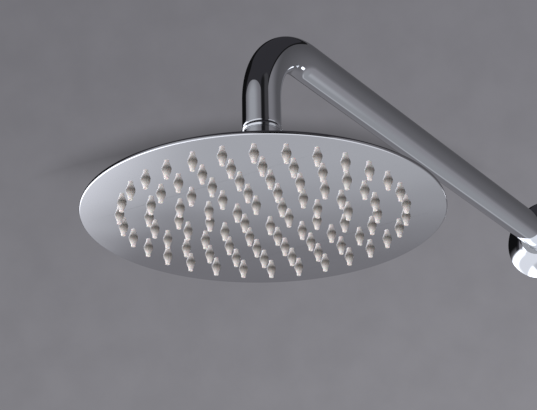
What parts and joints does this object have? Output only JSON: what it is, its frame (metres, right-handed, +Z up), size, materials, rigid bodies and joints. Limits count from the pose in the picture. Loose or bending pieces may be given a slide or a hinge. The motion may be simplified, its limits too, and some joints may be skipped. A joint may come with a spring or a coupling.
{
  "type": "overhead rain shower with wall arm",
  "caption": "Thin round overhead rain shower head with soft nozzles, on a ball joint under a bent chrome wall arm with a sliding wall flange.",
  "frame": {"origin": "on the arm's axis at the wall's surface, inside the inlet thread", "axes": "+Y out of the thread into the wall, -Y along the arm towards the head, +Z up, the spray falls along -Z"},
  "size_m": [0.2, 0.494, 0.1513],
  "materials": {
    "chrome_plate": "bright chrome plate on brass",
    "polished_stainless": "mirror-polished stainless steel",
    "post_stainless": "plain turned stainless steel",
    "bare_brass": "machined brass",
    "nozzle_silicone": "matt warm grey silicone",
    "seal_rubber": "black moulded rubber",
    "acetal": "white acetal",
    "wire_mesh": "woven stainless wire"
  },
  "bodies": {
    "arm": {"arm_tube": "chrome_plate", "wall_nipple": "bare_brass", "outlet_nipple": "bare_brass", "ball_nut": "chrome_plate", "inlet_washer": "seal_rubber", "filter_screen": "wire_mesh", "flow_limiter": "acetal", "limiter_ring": "seal_rubber"},
    "flange": {"wall_flange": "chrome_plate", "flange_grip_ring": "seal_rubber"},
    "seat": {"seat_ring": "acetal"},
    "seal": {"ball_seal": "seal_rubber"},
    "head": {"ball_socket": "chrome_plate", "ball_cap": "chrome_plate", "cap_ring": "seal_rubber", "socket_gasket": "seal_rubber", "socket_lock_nut": "bare_brass", "back_plate": "polished_stainless", "face_plate": "polished_stainless", "nozzle_mat": "nozzle_silicone", "support_posts": "post_stainless"}
  },
  "joints": [
    {"name": "flange_slide", "type": "slide", "parent": "arm", "child": "flange", "axis": [0, -1, 0], "range_m": [0, 0.3]},
    {"name": "head_tilt_front", "type": "hinge", "parent": "arm", "child": "seat", "pos_m": [0, -0.38, -0.0938], "axis": [1, 0, 0], "range_deg": [-10, 10]},
    {"name": "head_tilt_side", "type": "hinge", "parent": "seat", "child": "seal", "pos_m": [0, -0.38, -0.0938], "axis": [0, 1, 0], "range_deg": [-10, 10]},
    {"name": "head_turn", "type": "hinge", "parent": "seal", "child": "head", "pos_m": [0, -0.38, -0.0938], "axis": [0, 0, 1], "continuous": true}
  ]
}
